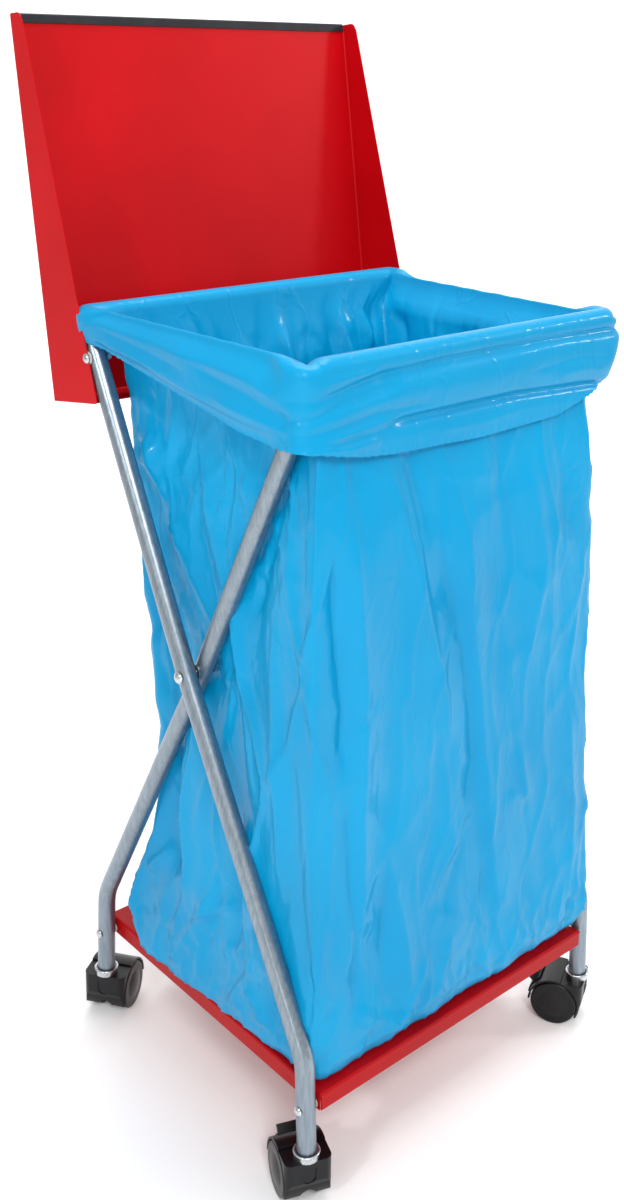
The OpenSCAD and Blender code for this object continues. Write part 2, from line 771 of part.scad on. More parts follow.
module bag() {
  p = rim_loop();
  rings = film_rings(p);
  n = len(p);
  m = len(rings);
  pts = concat([for (r = rings, v = r) v], [[0, 0, floor_z], [0, 0, floor_z + film_t]]);
  c0 = n * m;
  c1 = c0 + 1;
  // Both faces of the film are split along the same diagonals, so it keeps its thickness.
  faces = concat(
    [for (k = [0 : m - 2], i = [0 : n - 1])
      let (j = (i + 1) % n)
      [k * n + j, k * n + i, (k + 1) * n + (k < m / 2 ? j : i)]],
    [for (k = [0 : m - 2], i = [0 : n - 1])
      let (j = (i + 1) % n)
      [k * n + (k < m / 2 ? i : j), (k + 1) * n + i, (k + 1) * n + j]],
    [for (i = [0 : n - 1]) [c0, i, (i + 1) % n]],
    [for (i = [0 : n - 1]) [c1, (m - 1) * n + (i + 1) % n, (m - 1) * n + i]]
  );
  color([0.12, 0.6, 0.85]) polyhedron(points = pts, faces = faces);
}

outer_frame();
inner_frame();
base_plate();
lid();
lid_edge_trim();
lid_screw(-1);  // lid_screw_left
lid_screw(1);  // lid_screw_right
lid_nut(-1);  // lid_nut_left
lid_nut(1);  // lid_nut_right
lid_washer(-1);  // lid_washer_left
lid_washer(1);  // lid_washer_right
crossing_screw(-1);  // crossing_screw_left
crossing_screw(1);  // crossing_screw_right
crossing_nut(-1);  // crossing_nut_left
crossing_nut(1);  // crossing_nut_right
crossing_washer(-1);  // crossing_washer_left
crossing_washer(1);  // crossing_washer_right
plate_screw(-1, -1);  // plate_screw_front_left
plate_screw(1, -1);  // plate_screw_front_right
plate_screw(-1, 1);  // plate_screw_rear_left
plate_screw(1, 1);  // plate_screw_rear_right
plate_spacer(-1, -1);  // plate_spacer_front_left
plate_spacer(1, -1);  // plate_spacer_front_right
plate_spacer(-1, 1);  // plate_spacer_rear_left
plate_spacer(1, 1);  // plate_spacer_rear_right
plate_nut(-1, -1);  // plate_nut_front_left
plate_nut(1, -1);  // plate_nut_front_right
plate_nut(-1, 1);  // plate_nut_rear_left
plate_nut(1, 1);  // plate_nut_rear_right
at_castor(-1, -1, swivel_fl) stem();  // castor_stem_fl
at_castor(1, -1, swivel_fr) stem();  // castor_stem_fr
at_castor(-1, 1, swivel_rl) stem();  // castor_stem_rl
at_castor(1, 1, swivel_rr) stem();  // castor_stem_rr
at_castor(-1, -1, 0) leg_insert(-1);  // leg_insert_fl
at_castor(1, -1, 0) leg_insert(-1);  // leg_insert_fr
at_castor(-1, 1, 0) leg_insert(1);  // leg_insert_rl
at_castor(1, 1, 0) leg_insert(1);  // leg_insert_rr
at_castor(-1, -1, swivel_fl) cup_washer();  // cup_washer_fl
at_castor(1, -1, swivel_fr) cup_washer();  // cup_washer_fr
at_castor(-1, 1, swivel_rl) cup_washer();  // cup_washer_rl
at_castor(1, 1, swivel_rr) cup_washer();  // cup_washer_rr
at_castor(-1, -1, swivel_fl) hood(true);  // castor_hood_fl
at_castor(1, -1, swivel_fr) hood(true);  // castor_hood_fr
at_castor(-1, 1, swivel_rl) hood(false);  // castor_hood_rl
at_castor(1, 1, swivel_rr) hood(false);  // castor_hood_rr
at_castor(-1, -1, swivel_fl) axle();  // castor_axle_fl
at_castor(1, -1, swivel_fr) axle();  // castor_axle_fr
at_castor(-1, 1, swivel_rl) axle();  // castor_axle_rl
at_castor(1, 1, swivel_rr) axle();  // castor_axle_rr
at_castor(-1, -1, swivel_fl) wheel_side(-1);  // castor_wheel_fl_a
at_castor(-1, -1, swivel_fl) wheel_side(1);  // castor_wheel_fl_b
at_castor(1, -1, swivel_fr) wheel_side(-1);  // castor_wheel_fr_a
at_castor(1, -1, swivel_fr) wheel_side(1);  // castor_wheel_fr_b
at_castor(-1, 1, swivel_rl) wheel_side(-1);  // castor_wheel_rl_a
at_castor(-1, 1, swivel_rl) wheel_side(1);  // castor_wheel_rl_b
at_castor(1, 1, swivel_rr) wheel_side(-1);  // castor_wheel_rr_a
at_castor(1, 1, swivel_rr) wheel_side(1);  // castor_wheel_rr_b
at_castor(-1, -1, swivel_fl) brake_pedal();  // brake_pedal_fl
at_castor(1, -1, swivel_fr) brake_pedal();  // brake_pedal_fr
bag();
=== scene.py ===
import math

import bpy
import numpy as np
from mathutils import Matrix, Vector


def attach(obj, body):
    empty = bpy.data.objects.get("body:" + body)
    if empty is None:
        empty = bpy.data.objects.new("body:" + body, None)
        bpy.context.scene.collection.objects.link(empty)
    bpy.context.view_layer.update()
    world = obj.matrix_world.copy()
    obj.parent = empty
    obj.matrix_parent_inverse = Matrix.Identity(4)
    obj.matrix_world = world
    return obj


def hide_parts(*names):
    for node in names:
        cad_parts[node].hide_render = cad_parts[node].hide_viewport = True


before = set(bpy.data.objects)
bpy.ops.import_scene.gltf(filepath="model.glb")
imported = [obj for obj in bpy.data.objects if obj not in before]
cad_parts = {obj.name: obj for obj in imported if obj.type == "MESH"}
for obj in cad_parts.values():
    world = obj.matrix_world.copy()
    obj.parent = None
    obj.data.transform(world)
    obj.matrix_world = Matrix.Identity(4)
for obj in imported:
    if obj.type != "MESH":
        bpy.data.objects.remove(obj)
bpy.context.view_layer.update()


def rgb(text):
    """A hex sRGB colour as linear RGBA."""
    def lin(c):
        return c / 12.92 if c <= 0.04045 else ((c + 0.055) / 1.055) ** 2.4
    v = [int(text[i:i + 2], 16) / 255 for i in (1, 3, 5)]
    return (*[lin(c) for c in v], 1.0)


def grey(v):
    return (v, v, v, 1.0)


class Mat:
    """A node material in Object coordinates, round one Principled shader."""

    def __init__(self, name):
        self.m = bpy.data.materials.new(name)
        self.m.use_nodes = True
        self.t = self.m.node_tree
        self.t.nodes.clear()
        self.out = self.add("ShaderNodeOutputMaterial")
        self.p = self.add("ShaderNodeBsdfPrincipled")
        self.link(self.p, "BSDF", self.out, "Surface")
        self.co = self.add("ShaderNodeTexCoord")

    def add(self, kind, **values):
        n = self.t.nodes.new(kind)
        for k, v in values.items():
            k = k.replace("_", " ")
            if k in n.inputs:
                n.inputs[k].default_value = v
            else:
                setattr(n, k.replace(" ", "_"), v)
        return n

    def link(self, a, sa, b, sb):
        self.t.links.new(a.outputs[sa], b.inputs[sb])

    def set(self, **values):
        for k, v in values.items():
            self.p.inputs[k.replace("_", " ")].default_value = v

    def noise(self, scale, detail=3.0, rough=0.5, stretch=None):
        n = self.add("ShaderNodeTexNoise", Scale=scale, Detail=detail, Roughness=rough)
        if stretch:
            mp = self.add("ShaderNodeMapping", Scale=stretch)
            self.link(self.co, "Object", mp, "Vector")
            self.link(mp, "Vector", n, "Vector")
        else:
            self.link(self.co, "Object", n, "Vector")
        return n

    def ramp(self, src, out, stops):
        r = self.add("ShaderNodeValToRGB")
        for e, (pos, col) in zip(r.color_ramp.elements, stops):
            e.position = pos
            e.color = col
        self.link(src, out, r, "Fac")
        return r

    def bump(self, src, out, strength, distance, normal=None):
        b = self.add("ShaderNodeBump", Strength=strength, Distance=distance)
        self.link(src, out, b, "Height")
        if normal:
            self.link(normal, "Normal", b, "Normal")
        return b


def give(node, mat):
    """Sets a CAD node's material."""
    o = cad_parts[node]
    o.data.materials.clear()
    o.data.materials.append(mat.m)


def mesh_object(name, verts, faces, mat):
    """A smooth-shaded mesh in the scene."""
    me = bpy.data.meshes.new(name)
    me.from_pydata([tuple(v) for v in verts], [], [tuple(int(i) for i in f) for f in faces])
    me.update()
    me.validate()
    o = bpy.data.objects.new(name, me)
    bpy.context.scene.collection.objects.link(o)
    me.materials.append(mat.m)
    for p in me.polygons:
        p.use_smooth = True
    return o


def powder_coat(name, colour, dark, rough):
    """Sprayed powder coat: even colour, slight orange peel, faint cloudiness."""
    m = Mat(name)
    cloud = m.noise(9.0, 2.0)
    col = m.ramp(cloud, "Fac", [(0.3, rgb(dark)), (0.7, rgb(colour))])
    m.link(col, "Color", m.p, "Base Color")
    peel = m.noise(900.0, 2.0, 0.55)
    speck = m.noise(2600.0, 1.0)
    r = m.ramp(speck, "Fac", [(0.3, grey(rough - 0.05)), (0.7, grey(rough + 0.08))])
    m.link(r, "Color", m.p, "Roughness")
    m.link(m.bump(peel, "Fac", 0.16, 0.0003), "Normal", m.p, "Normal")
    m.set(Specular_IOR_Level=0.14)
    return m


def tube_paint():
    """Silver-grey sprayed tube: metallic paint with fine flake and drawn streaks."""
    m = Mat("tube_silver")
    flake = m.noise(3200.0, 1.0)
    streak = m.noise(60.0, 3.0, 0.6, (6.0, 6.0, 0.5))
    col = m.ramp(streak, "Fac", [(0.32, rgb("#7E8A94")), (0.68, rgb("#949FA8"))])
    m.link(col, "Color", m.p, "Base Color")
    r = m.ramp(flake, "Fac", [(0.3, grey(0.26)), (0.7, grey(0.4))])
    m.link(r, "Color", m.p, "Roughness")
    m.link(m.bump(flake, "Fac", 0.12, 0.0002), "Normal", m.p, "Normal")
    m.set(Metallic=0.85)
    return m


def zinc():
    """Bright zinc plate on screws, nuts, cup washers and stems."""
    m = Mat("zinc_plate")
    n = m.noise(700.0, 3.0)
    col = m.ramp(n, "Fac", [(0.3, rgb("#A9ADB0")), (0.7, rgb("#DADDDE"))])
    m.link(col, "Color", m.p, "Base Color")
    r = m.ramp(n, "Fac", [(0.3, grey(0.22)), (0.7, grey(0.36))])
    m.link(r, "Color", m.p, "Roughness")
    m.link(m.bump(n, "Fac", 0.1, 0.0001), "Normal", m.p, "Normal")
    m.set(Metallic=1.0)
    return m


def plastic(name, light, dark, rough, grain=1500.0):
    """Moulded plastic with a fine sparked grain and faint dust."""
    m = Mat(name)
    dust = m.noise(45.0, 4.0, 0.6)
    col = m.ramp(dust, "Fac", [(0.42, rgb(dark)), (0.75, rgb(light))])
    m.link(col, "Color", m.p, "Base Color")
    g = m.noise(grain, 2.0)
    r = m.ramp(g, "Fac", [(0.3, grey(rough - 0.06)), (0.7, grey(rough + 0.08))])
    m.link(r, "Color", m.p, "Roughness")
    m.link(m.bump(g, "Fac", 0.15, 0.0002), "Normal", m.p, "Normal")
    m.set(Specular_IOR_Level=0.32)
    return m


def film():
    """Blue polyethylene film: satin, milky where light comes through, with small
    hard glints. The crinkles too fine for the mesh are bumps, crazed in patches."""
    m = Mat("blue_film")
    cloud = m.noise(5.0, 3.0)
    col = m.ramp(cloud, "Fac", [(0.3, rgb("#0094C8")), (0.7, rgb("#00A1D5"))])
    m.link(col, "Color", m.p, "Base Color")
    # every pattern is looked up at a warped place, so no crinkle is straight
    warp = m.noise(22.0, 2.0)
    bent = m.add("ShaderNodeVectorMath", operation="MULTIPLY_ADD")
    bent.inputs[1].default_value = (0.05, 0.05, 0.05)
    m.link(warp, "Color", bent, 0)
    m.link(m.co, "Object", bent, 2)
    tall = m.add("ShaderNodeMapping", Scale=(1.0, 1.0, 0.45))
    m.link(bent, "Vector", tall, "Vector")
    flats = m.add("ShaderNodeTexVoronoi", Scale=42.0)
    m.link(tall, "Vector", flats, "Vector")
    fine = m.add("ShaderNodeTexVoronoi", Scale=120.0)
    m.link(bent, "Vector", fine, "Vector")
    patch = m.noise(7.0, 2.0)
    crazing = m.ramp(patch, "Fac", [(0.5, grey(0.06)), (0.68, grey(0.45))])
    slim = m.add("ShaderNodeMapping", Scale=(1.0, 1.0, 0.22))
    m.link(bent, "Vector", slim, "Vector")
    lines = m.add("ShaderNodeTexVoronoi", Scale=17.0, feature="DISTANCE_TO_EDGE")
    m.link(slim, "Vector", lines, "Vector")
    thin = m.ramp(lines, "Distance", [(0.0, grey(1.0)), (0.05, grey(0.0))])
    b1 = m.bump(thin, "Color", 0.22, 0.0012)
    b2 = m.bump(flats, "Distance", 0.2, 0.0016, b1)
    m.link(crazing, "Color", b2, "Strength")
    b3 = m.bump(fine, "Distance", 0.1, 0.0006, b2)
    m.link(crazing, "Color", b3, "Strength")
    m.link(b3, "Normal", m.p, "Normal")
    m.link(b3, "Normal", m.p, "Coat Normal")
    m.set(Roughness=0.4, IOR=1.5, Specular_IOR_Level=0.16, Coat_Weight=0.24, Coat_Roughness=0.07)
    through = m.add("ShaderNodeBsdfTranslucent")
    m.link(col, "Color", through, "Color")
    m.link(b2, "Normal", through, "Normal")
    mix = m.add("ShaderNodeMixShader", Fac=0.16)
    m.link(m.p, "BSDF", mix, 1)
    m.link(through, "BSDF", mix, 2)
    m.link(mix, "Shader", m.out, "Surface")
    return m


LID_RED = powder_coat("lid_red", "#BE030E", "#B4020B", 0.42)
# the tray has the lid's red paint made darker: painted shade for the tray lying in shadow under the bag
TRAY_RED_PAINTED_SHADE = powder_coat("tray_red_painted_shade", "#AA0309", "#9C0207", 0.4)
TUBE = tube_paint()
ZINC = zinc()
TRIM = plastic("trim_black", "#24252A", "#15161A", 0.5, 700.0)
HOOD = plastic("castor_black", "#0C0D10", "#050608", 0.36)
WHEEL = plastic("wheel_black", "#0D0E11", "#060709", 0.3)
INSERT = plastic("insert_grey", "#3A3C40", "#2A2C30", 0.5)
NYLON = plastic("white_nylon", "#DAD9D2", "#C6C5BE", 0.45)
FILM = film()

# Frames: each is one length of 18 mm steel tube, bent round at its crossbar and again
# above its two feet, and sprayed silver grey before assembly.
for node in ("outer_frame", "inner_frame"):
    give(node, TUBE)

# Lid and tray: sheet steel, cut flat, folded on a brake and powder coated red; the tray's red is the same
# paint made darker as painted shade. A black plastic trim is pushed onto the lid's front edge.
give("lid", LID_RED)
give("base_plate", TRAY_RED_PAINTED_SHADE)
give("lid_edge_trim", TRIM)

# Fasteners: stock zinc-plated screws, nuts and crossing washers. White nylon washers keep
# the lid's flanges off the tubes, and nylon spacers stand between the legs and the tray.
for side in ("left", "right"):
    for part in ("lid_screw", "lid_nut", "crossing_screw", "crossing_nut", "crossing_washer"):
        give(f"{part}_{side}", ZINC)
    give(f"lid_washer_{side}", NYLON)
    for end in ("front", "rear"):
        give(f"plate_screw_{end}_{side}", ZINC)
        give(f"plate_nut_{end}_{side}", ZINC)
        give(f"plate_spacer_{end}_{side}", NYLON)

# Castors: hood, wheels and brake pedal are moulded in black plastic. Stem and axle are
# turned steel, the cup washer is pressed, and a plastic insert holds the stem in the leg.
for corner in ("fl", "fr", "rl", "rr"):
    for part in ("castor_stem", "cup_washer", "castor_axle"):
        give(f"{part}_{corner}", ZINC)
    give(f"leg_insert_{corner}", INSERT)
    give(f"castor_hood_{corner}", HOOD)
    give(f"castor_wheel_{corner}_a", WHEEL)
    give(f"castor_wheel_{corner}_b", WHEEL)
for corner in ("fl", "fr"):
    give(f"brake_pedal_{corner}", HOOD)


# The bag: tubular film, seam-welded flat at the bottom, hung inside the frames with
# its mouth turned down over both crossbars. One sheet: floor, body, rim and cuff.
# Its sizes are in mm, as in the part's source.

MM = 0.001
BAR_Y, BAR_Z = 149.0, 769.0  # the crossbars' centre lines
TRAY_Z = 114.0  # the tray's top
FLOOR_Z = TRAY_Z + 0.5  # the film's flat bottom
CROSS_Z = 462.0  # where the legs cross
LEG_ABOVE, LEG_BELOW = 0.4853, 0.535  # run of the inner frame's legs per mm of height
LEG_X = 165.0  # the film's half width where those legs hold it back
LOW_Z, LOW_SPREAD = 240.0, 0.12  # below LOW_Z it widens by this much per mm
NUT_PULL, NUT_REACH = 4.5, 22.0  # how the crossing nuts press it in, and how far
BELLY = 3.0  # how far the front bulges

ROLL_R = 9.9  # radius of the film's roll over a bar
EDGE_R = 2.0  # and of its fold along a free side
TOP_Z = 778.9  # top of the roll
CUFF_OUT = 9.6  # how far the cuff hangs out from the bars' centre lines
GIRTH = 1250.0  # the film's way round at mid height

FOLD_GAIN, CREASE_GAIN = 2.0, 1.5  # how strongly folds and small creases show
MOST_FOLD = 15.0  # the most that a point is moved by them
SMALL_CREASES = 150


def smooth(a, b, x):
    t = np.clip((x - a) / (b - a), 0.0, 1.0)
    return t * t * (3 - 2 * t)


def bell(x, width):
    return np.exp(-(x / width) ** 2)


def wave(x, seed, k0, k1, count=9):
    """A smooth random wave of x, near -1 to 1, that closes after 2 pi."""
    r = np.random.default_rng(seed)
    k = r.integers(k0, k1 + 1, count)
    ph = r.uniform(0, 2 * np.pi, count)
    am = r.uniform(0.4, 1.0, count)
    return sum(a * np.sin(kk * x + p) for a, kk, p in zip(am, k, ph)) / np.sqrt(count)


def crease(a, b, points, height, wide, tight, wrap=0.0):
    """A fold line through points, in mm: gentle on one side and steep on the other."""
    best = np.full(a.shape, 1e9)
    side = np.ones(a.shape)
    along = np.zeros(a.shape)
    seg = [math.dist(p, q) for p, q in zip(points, points[1:])]
    total, done = sum(seg), 0.0
    for (x0, z0), (x1, z1), ln in zip(points, points[1:], seg):
        da = a - x0
        if wrap:
            da = (da + wrap / 2) % wrap - wrap / 2
        ux, uz = (x1 - x0) / ln, (z1 - z0) / ln
        t = np.clip(da * ux + (b - z0) * uz, 0, ln)
        d = np.hypot(da - t * ux, b - z0 - t * uz)
        s = np.sign(ux * (b - z0) - uz * da)
        use = d < best
        best = np.where(use, d, best)
        side = np.where(use, s, side)
        along = np.where(use, (done + t) / total, along)
        done += ln
    w = np.where(side > 0, wide, tight)
    fade = smooth(0, 0.22, along) * smooth(1, 0.78, along)
    # the root keeps the ridge itself slightly round
    return height * fade * np.exp(-(np.sqrt(best ** 2 + 0.6) - 0.77) / w)


# Columns along the rear, left, front and right, seen from above, counter-clockwise from
# the rear right corner.
COUNTS = (158, 120, 154, 120)
N = sum(COUNTS)
ARC = np.arange(N) / N * 2 * np.pi


def outline(sides, rounding):
    """A closed plan outline. Each side is a list of (share of its columns, x, y)."""
    out = []
    for count, side in zip(COUNTS, sides):
        q, x, y = np.array(side, float).T
        t = np.arange(count) / count
        out.append(np.c_[np.interp(t, q, x), np.interp(t, q, y)])
    p = np.concatenate(out)
    for _ in range(rounding):
        p = 0.5 * p + 0.25 * (np.roll(p, 1, 0) + np.roll(p, -1, 0))
    return p


def normals(p):
    t = np.roll(p, -1, 0) - np.roll(p, 1, 0)
    t /= np.linalg.norm(t, axis=1)[:, None]
    return np.c_[t[:, 1], -t[:, 0]]


RIM = outline([[(0, 198, BAR_Y), (1, -198, BAR_Y)], [(0, -198, BAR_Y), (1, -192, -BAR_Y)],
               [(0, -192, -BAR_Y), (1, 194, -BAR_Y)], [(0, 194, -BAR_Y), (1, 198, BAR_Y)]], 10)
RIM_X, RIM_Y = RIM.T
RIM_N = normals(RIM)
# 1 on the two bars and their bends, 0 along the free sides, where the film folds sharply
ON_BAR = smooth(0.72, 0.92, np.abs(RIM_Y) / BAR_Y)

# Corners of the hanging film by height, read off the photograph: height, then x and
# y of the front left, front right, rear right and rear left corners.
CORNERS_AT = [
    (100, -176, -160, 178, -158, 156, 122, -158, 124),
    (114, -180, -168, 184, -166, 160, 126, -166, 130),
    (126, -184, -173, 190, -176, 168, 130, -174, 133),
    (150, -187, -175, 192, -184, 172, 133, -178, 134),
    (200, -190, -173, 191, -181, 172, 120, -173, 120),
    (242, -191, -170, 189, -178, 170, 108, -168, 104),
    (300, -191, -168, 185, -176, 168, 103, -166, 92),
    (370, -191, -166, 181, -174, 167, 106, -166, 80),
    (460, -192, -165, 178, -171, 166, 114, -165, 97),
    (540, -192, -163, 176, -168, 168, 120, -166, 112),
    (600, -191, -161, 175, -165, 168, 121, -167, 116),
    (660, -187, -156, 173, -160, 168, 121, -167, 121),
    (700, -180, -150, 171, -151, 168, 122, -168, 124),
    (742, -170, -140, 170, -141, 172, 134, -172, 134),
    (790, -170, -139, 170, -139, 176, 139, -176, 139),
]


def body_row(z):
    """The bag's plan outline at a height, before its folds. Between its corners the
    film passes inside the tubes, whose legs cross at the crossing screws."""
    table = np.array(CORNERS_AT, float).T
    fx, fy, gx, gy, rx, ry, lx, ly = (np.interp(z, table[0], c) for c in table[1:])
    # where the inner frame's leg holds the film back, as a share of the side
    leg_y = -(z - CROSS_Z) * LEG_ABOVE if z > CROSS_Z else (CROSS_Z - z) * LEG_BELOW
    ql = float(np.clip((ly - leg_y) / (ly - fy), 0.1, 0.9))
    qr = float(np.clip((leg_y - gy) / (ry - gy), 0.1, 0.9))
    hold = LEG_X + max(LOW_Z - z, 0) * LOW_SPREAD
    pull = NUT_PULL * math.exp(-((z - CROSS_Z) / NUT_REACH) ** 2)
    left = [(0, lx, ly), (ql, -hold + pull, ly + (fy - ly) * ql), (1, fx, fy)]
    right = [(0, gx, gy), (qr, hold - pull, gy + (ry - gy) * qr), (1, rx, ry)]
    belly = BELLY * math.sin(math.pi * min(max((z - TRAY_Z) / 560, 0), 1))
    front = [(0, fx, fy), (0.3, fx * 0.7 + gx * 0.3, fy * 0.7 + gy * 0.3 - belly),
             (0.7, fx * 0.3 + gx * 0.7, fy * 0.3 + gy * 0.7 - belly), (1, gx, gy)]
    return outline([[(0, rx, ry), (1, lx, ly)], left, front, right], 13)


# Folds of the front, as (x, z) points, height, and width on the gentle and steep sides.
FRONT_FOLDS = [
    ([(-38, 700), (-33, 595), (-14, 548), (-3, 497), (11, 433),
      (20, 368), (34, 266), (43, 207), (50, 128)], 3.4, 34, 4),
    ([(-104, 700), (-89, 631), (-66, 552), (-40, 459), (-28, 380)], 5.0, 10, 26),
    ([(-45, 600), (-11, 499), (8, 372), (-10, 290), (-47, 200)], -2.6, 12, 16),
    ([(-149, 700), (-146, 608), (-138, 480), (-138, 336), (-138, 170)], 5.0, 16, 20),
    ([(-166, 640), (-164, 560), (-155, 470), (-158, 400)], -4.5, 8, 10),
    ([(-160, 480), (-140, 462), (-118, 480)], -2.0, 7, 5),
    ([(-150, 420), (-146, 301), (-136, 150)], -4.2, 8, 12),
    ([(-118, 400), (-104, 300), (-106, 180)], -3.0, 16, 10),
    ([(-120, 378), (-85, 231), (-77, 140)], 4.6, 22, 9),
    ([(-60, 247), (43, 186)], 2.4, 5, 22),
    ([(-60, 240), (-27, 290), (11, 340)], 2.6, 14, 7),
    ([(-142, 178), (-81, 137)], 4.0, 5, 9),
    ([(-119, 130), (-77, 150), (-56, 200)], 3.6, 9, 6),
    ([(72, 660), (96, 551), (71, 470)], 2.8, 20, 26),
    ([(67, 372), (82, 314), (43, 322)], 2.4, 9, 5),
    ([(-18, 609), (59, 627), (98, 637)], 0.9, 6, 9),
    ([(30, 455), (131, 492)], 1.2, 9, 14),
    ([(98, 600), (150, 522), (173, 532)], 1.6, 14, 9),
    ([(47, 440), (91, 255), (72, 150)], -2.2, 24, 14),
    ([(-47, 128), (-23, 210)], 2.4, 9, 6),
    ([(140, 420), (160, 260), (150, 130)], 2.4, 18, 10),
    ([(110, 690), (128, 620), (120, 560)], -1.8, 12, 12),
    ([(-75, 700), (-62, 640), (-58, 600)], -2.2, 9, 12),
]

# Folds of the left side, as (y, z) points.
LEFT_FOLDS = [
    ([(100, 690), (60, 600), (28, 549), (-33, 470)], 4.2, 9, 18),
    ([(12, 700), (0, 600), (-44, 504), (-76, 398), (-88, 320)], 4.6, 10, 24),
    ([(-57, 700), (-48, 610)], 2.4, 9, 6),
    ([(-100, 700), (-96, 620), (-60, 520)], -3.2, 12, 12),
    ([(78, 400), (50, 305), (66, 200)], -4.6, 12, 8),
    ([(6, 450), (34, 312), (29, 180)], 4.4, 8, 20),
    ([(-60, 360), (-110, 231), (-134, 160)], 4.2, 9, 16),
    ([(14, 198), (-50, 238)], 3.4, 4, 12),
    ([(-25, 182), (-66, 198)], 2.6, 4, 7),
    ([(-40, 124), (-78, 168), (-116, 130)], 4.0, 9, 5),
    ([(96, 560), (36, 500)], 3.0, 5, 10),
    ([(-105, 580), (-116, 414), (-125, 260)], 3.2, 16, 10),
    ([(108, 200), (68, 244)], 3.0, 5, 9),
    ([(-8, 470), (-32, 456)], 2.2, 4, 4),
    ([(48, 520), (20, 486)], 2.2, 4, 5),
    ([(-52, 300), (-46, 170)], -3.2, 12, 9),
    ([(112, 640), (60, 640)], 1.6, 6, 6),
    ([(90, 540), (84, 440), (60, 400)], -2.6, 10, 10),
    ([(-10, 300), (-20, 220), (10, 140)], -3.0, 14, 10),
    ([(-90, 330), (-60, 250), (-90, 170)], 2.6, 7, 12),
    ([(110, 672), (78, 652), (96, 628)], 2.6, 5, 5),
    ([(92, 662), (70, 610)], 2.4, 4, 8),
]

# Folds of the rear wall, which the mouth shows from inside, as (x, z) points.
REAR_FOLDS = [
    ([(11, 776), (28, 700), (30, 560)], -3.6, 26, 5),
    ([(112, 776), (104, 742), (112, 690), (100, 620)], -4.6, 10, 6),
    ([(82, 767), (92, 707), (70, 600)], 3.4, 14, 8),
    ([(150, 770), (140, 735), (150, 690)], -4.4, 6, 8),
    ([(-60, 776), (-52, 700), (-66, 560)], 2.2, 24, 14),
    ([(60, 740), (48, 660)], 2.0, 12, 8),
    ([(130, 766), (156, 724)], 3.2, 5, 6),
]

# Folds of the right side, whose inner face shows below the rim, as (y, z) points.
RIGHT_FOLDS = [
    ([(110, 770), (90, 700), (60, 560)], 4.0, 16, 8),
    ([(70, 776), (40, 690), (30, 600)], -3.6, 16, 12),
    ([(10, 776), (-14, 700), (-10, 600)], 3.4, 14, 18),
    ([(-50, 770), (-70, 680)], -3.0, 14, 12),
    ([(130, 750), (96, 720)], 3.0, 6, 6),
]


def random_folds(s, z):
    """The many small creases that handling leaves in the film, more of them low down."""
    r = np.random.default_rng(29)
    out = np.zeros(s.shape)
    for k in range(SMALL_CREASES):
        low = k % 2 == 0
        s0 = r.uniform(0, GIRTH)
        z0 = r.uniform(120, 260) if low else r.uniform(180, 700)
        ln = r.uniform(14, 46) if low else r.uniform(30, 110)
        a = r.uniform(-1.2, 1.2) if low else r.uniform(-0.45, 0.45)
        h = r.uniform(0.5, 1.9) if low else r.uniform(0.25, 0.8)
        bend = r.uniform(-0.25, 0.25) * ln
        p = [(s0, z0), (s0 + math.sin(a) * ln / 2 + bend, z0 + math.cos(a) * ln / 2),
             (s0 + math.sin(a) * ln, z0 + math.cos(a) * ln)]
        out += crease(s, z, p, h * r.choice([-1, 1, 1]), r.uniform(5, 14), r.uniform(2, 5), GIRTH)
    return out


def facets(s, z, seed, cell, tall, width):
    """A net of sharp ridges round flat fields, as crumpled film has: 1 on a ridge."""
    r = np.random.default_rng(seed)
    low, high = 90, 770
    count = int(GIRTH * (high - low) / (cell * cell * tall))
    ps, pz = r.uniform(0, GIRTH, count), r.uniform(low, high, count)
    out = np.zeros(s.shape)
    for k in range(len(s)):
        ds = (s[k][:, None] - ps[None, :] + GIRTH / 2) % GIRTH - GIRTH / 2
        d = np.hypot(ds, (z[k][:, None] - pz[None, :]) / tall)
        two = np.partition(d, 1, axis=1)
        out[k] = np.exp(-(two[:, 1] - two[:, 0]) / width)
    return out


def film_folds(q, z, n, tau):
    """How far each point of the body lies out of the plain outline, in mm."""
    x, y = q[..., 0], q[..., 1]
    front, left = smooth(0.35, 0.8, -n[..., 1]), smooth(0.35, 0.8, -n[..., 0])
    rear, right = smooth(0.35, 0.8, n[..., 1]), smooth(0.35, 0.8, n[..., 0])
    out = np.zeros(x.shape)
    for table, along, mask in ((FRONT_FOLDS, x, front), (LEFT_FOLDS, y, left),
                               (REAR_FOLDS, x, rear), (RIGHT_FOLDS, y, right)):
        for points, height, gentle, steep in table:
            out += mask * crease(along, z, points, height, gentle, steep)
    # soft waves that start below the rim
    down = np.clip((BAR_Z - z) / (BAR_Z - TRAY_Z), 0, 1)
    soft = 1.1 * wave(tau + 0.25 * down, 11, 9, 26, 10) + 0.4 * wave(tau - 0.5 * down, 5, 22, 48, 10)
    out += soft * smooth(0.02, 0.2, down)
    # flat fields between ridges, small ones where the film is crumpled: low down, and
    # under the cuff on every side but the front
    arc = tau / (2 * np.pi) * GIRTH + 9 * np.sin(z / 37.0 + 2 * tau)
    crumple = smooth(250, 130, z) + 0.8 * (1 - front) * bell(z - 640, 90)
    big = facets(arc, z, 3, 62, 2.8, 7.0) - 0.4
    small = facets(arc, z, 8, 25, 1.7, 3.4) - 0.4
    out += big * (1.3 + 1.6 * (1 - front)) + small * (0.25 + 1.5 * np.clip(crumple, 0, 1))
    return FOLD_GAIN * out + CREASE_GAIN * random_folds(arc, z)


# The cuff's free edge, as (y, z) points along the sides and (x, z) along the front.
HEM_SIDE = [(-149, 706), (-142, 704), (-120, 703), (-75, 707), (-8, 721), (64, 735), (123, 746), (149, 748)]
HEM_FRONT = [(-200, 706), (-151, 696), (-136, 693), (-100, 689), (-37, 687),
             (9, 685), (114, 688), (173, 703), (200, 712)]
# The two grooves that run along the front cuff, as (x, z) points.
UPPER_GROOVE = [(-188, 745), (-121, 756), (-36, 761), (97, 762), (186, 759)]
LOWER_GROOVE = [(-196, 706), (-102, 716), (53, 716), (171, 710), (200, 706)]

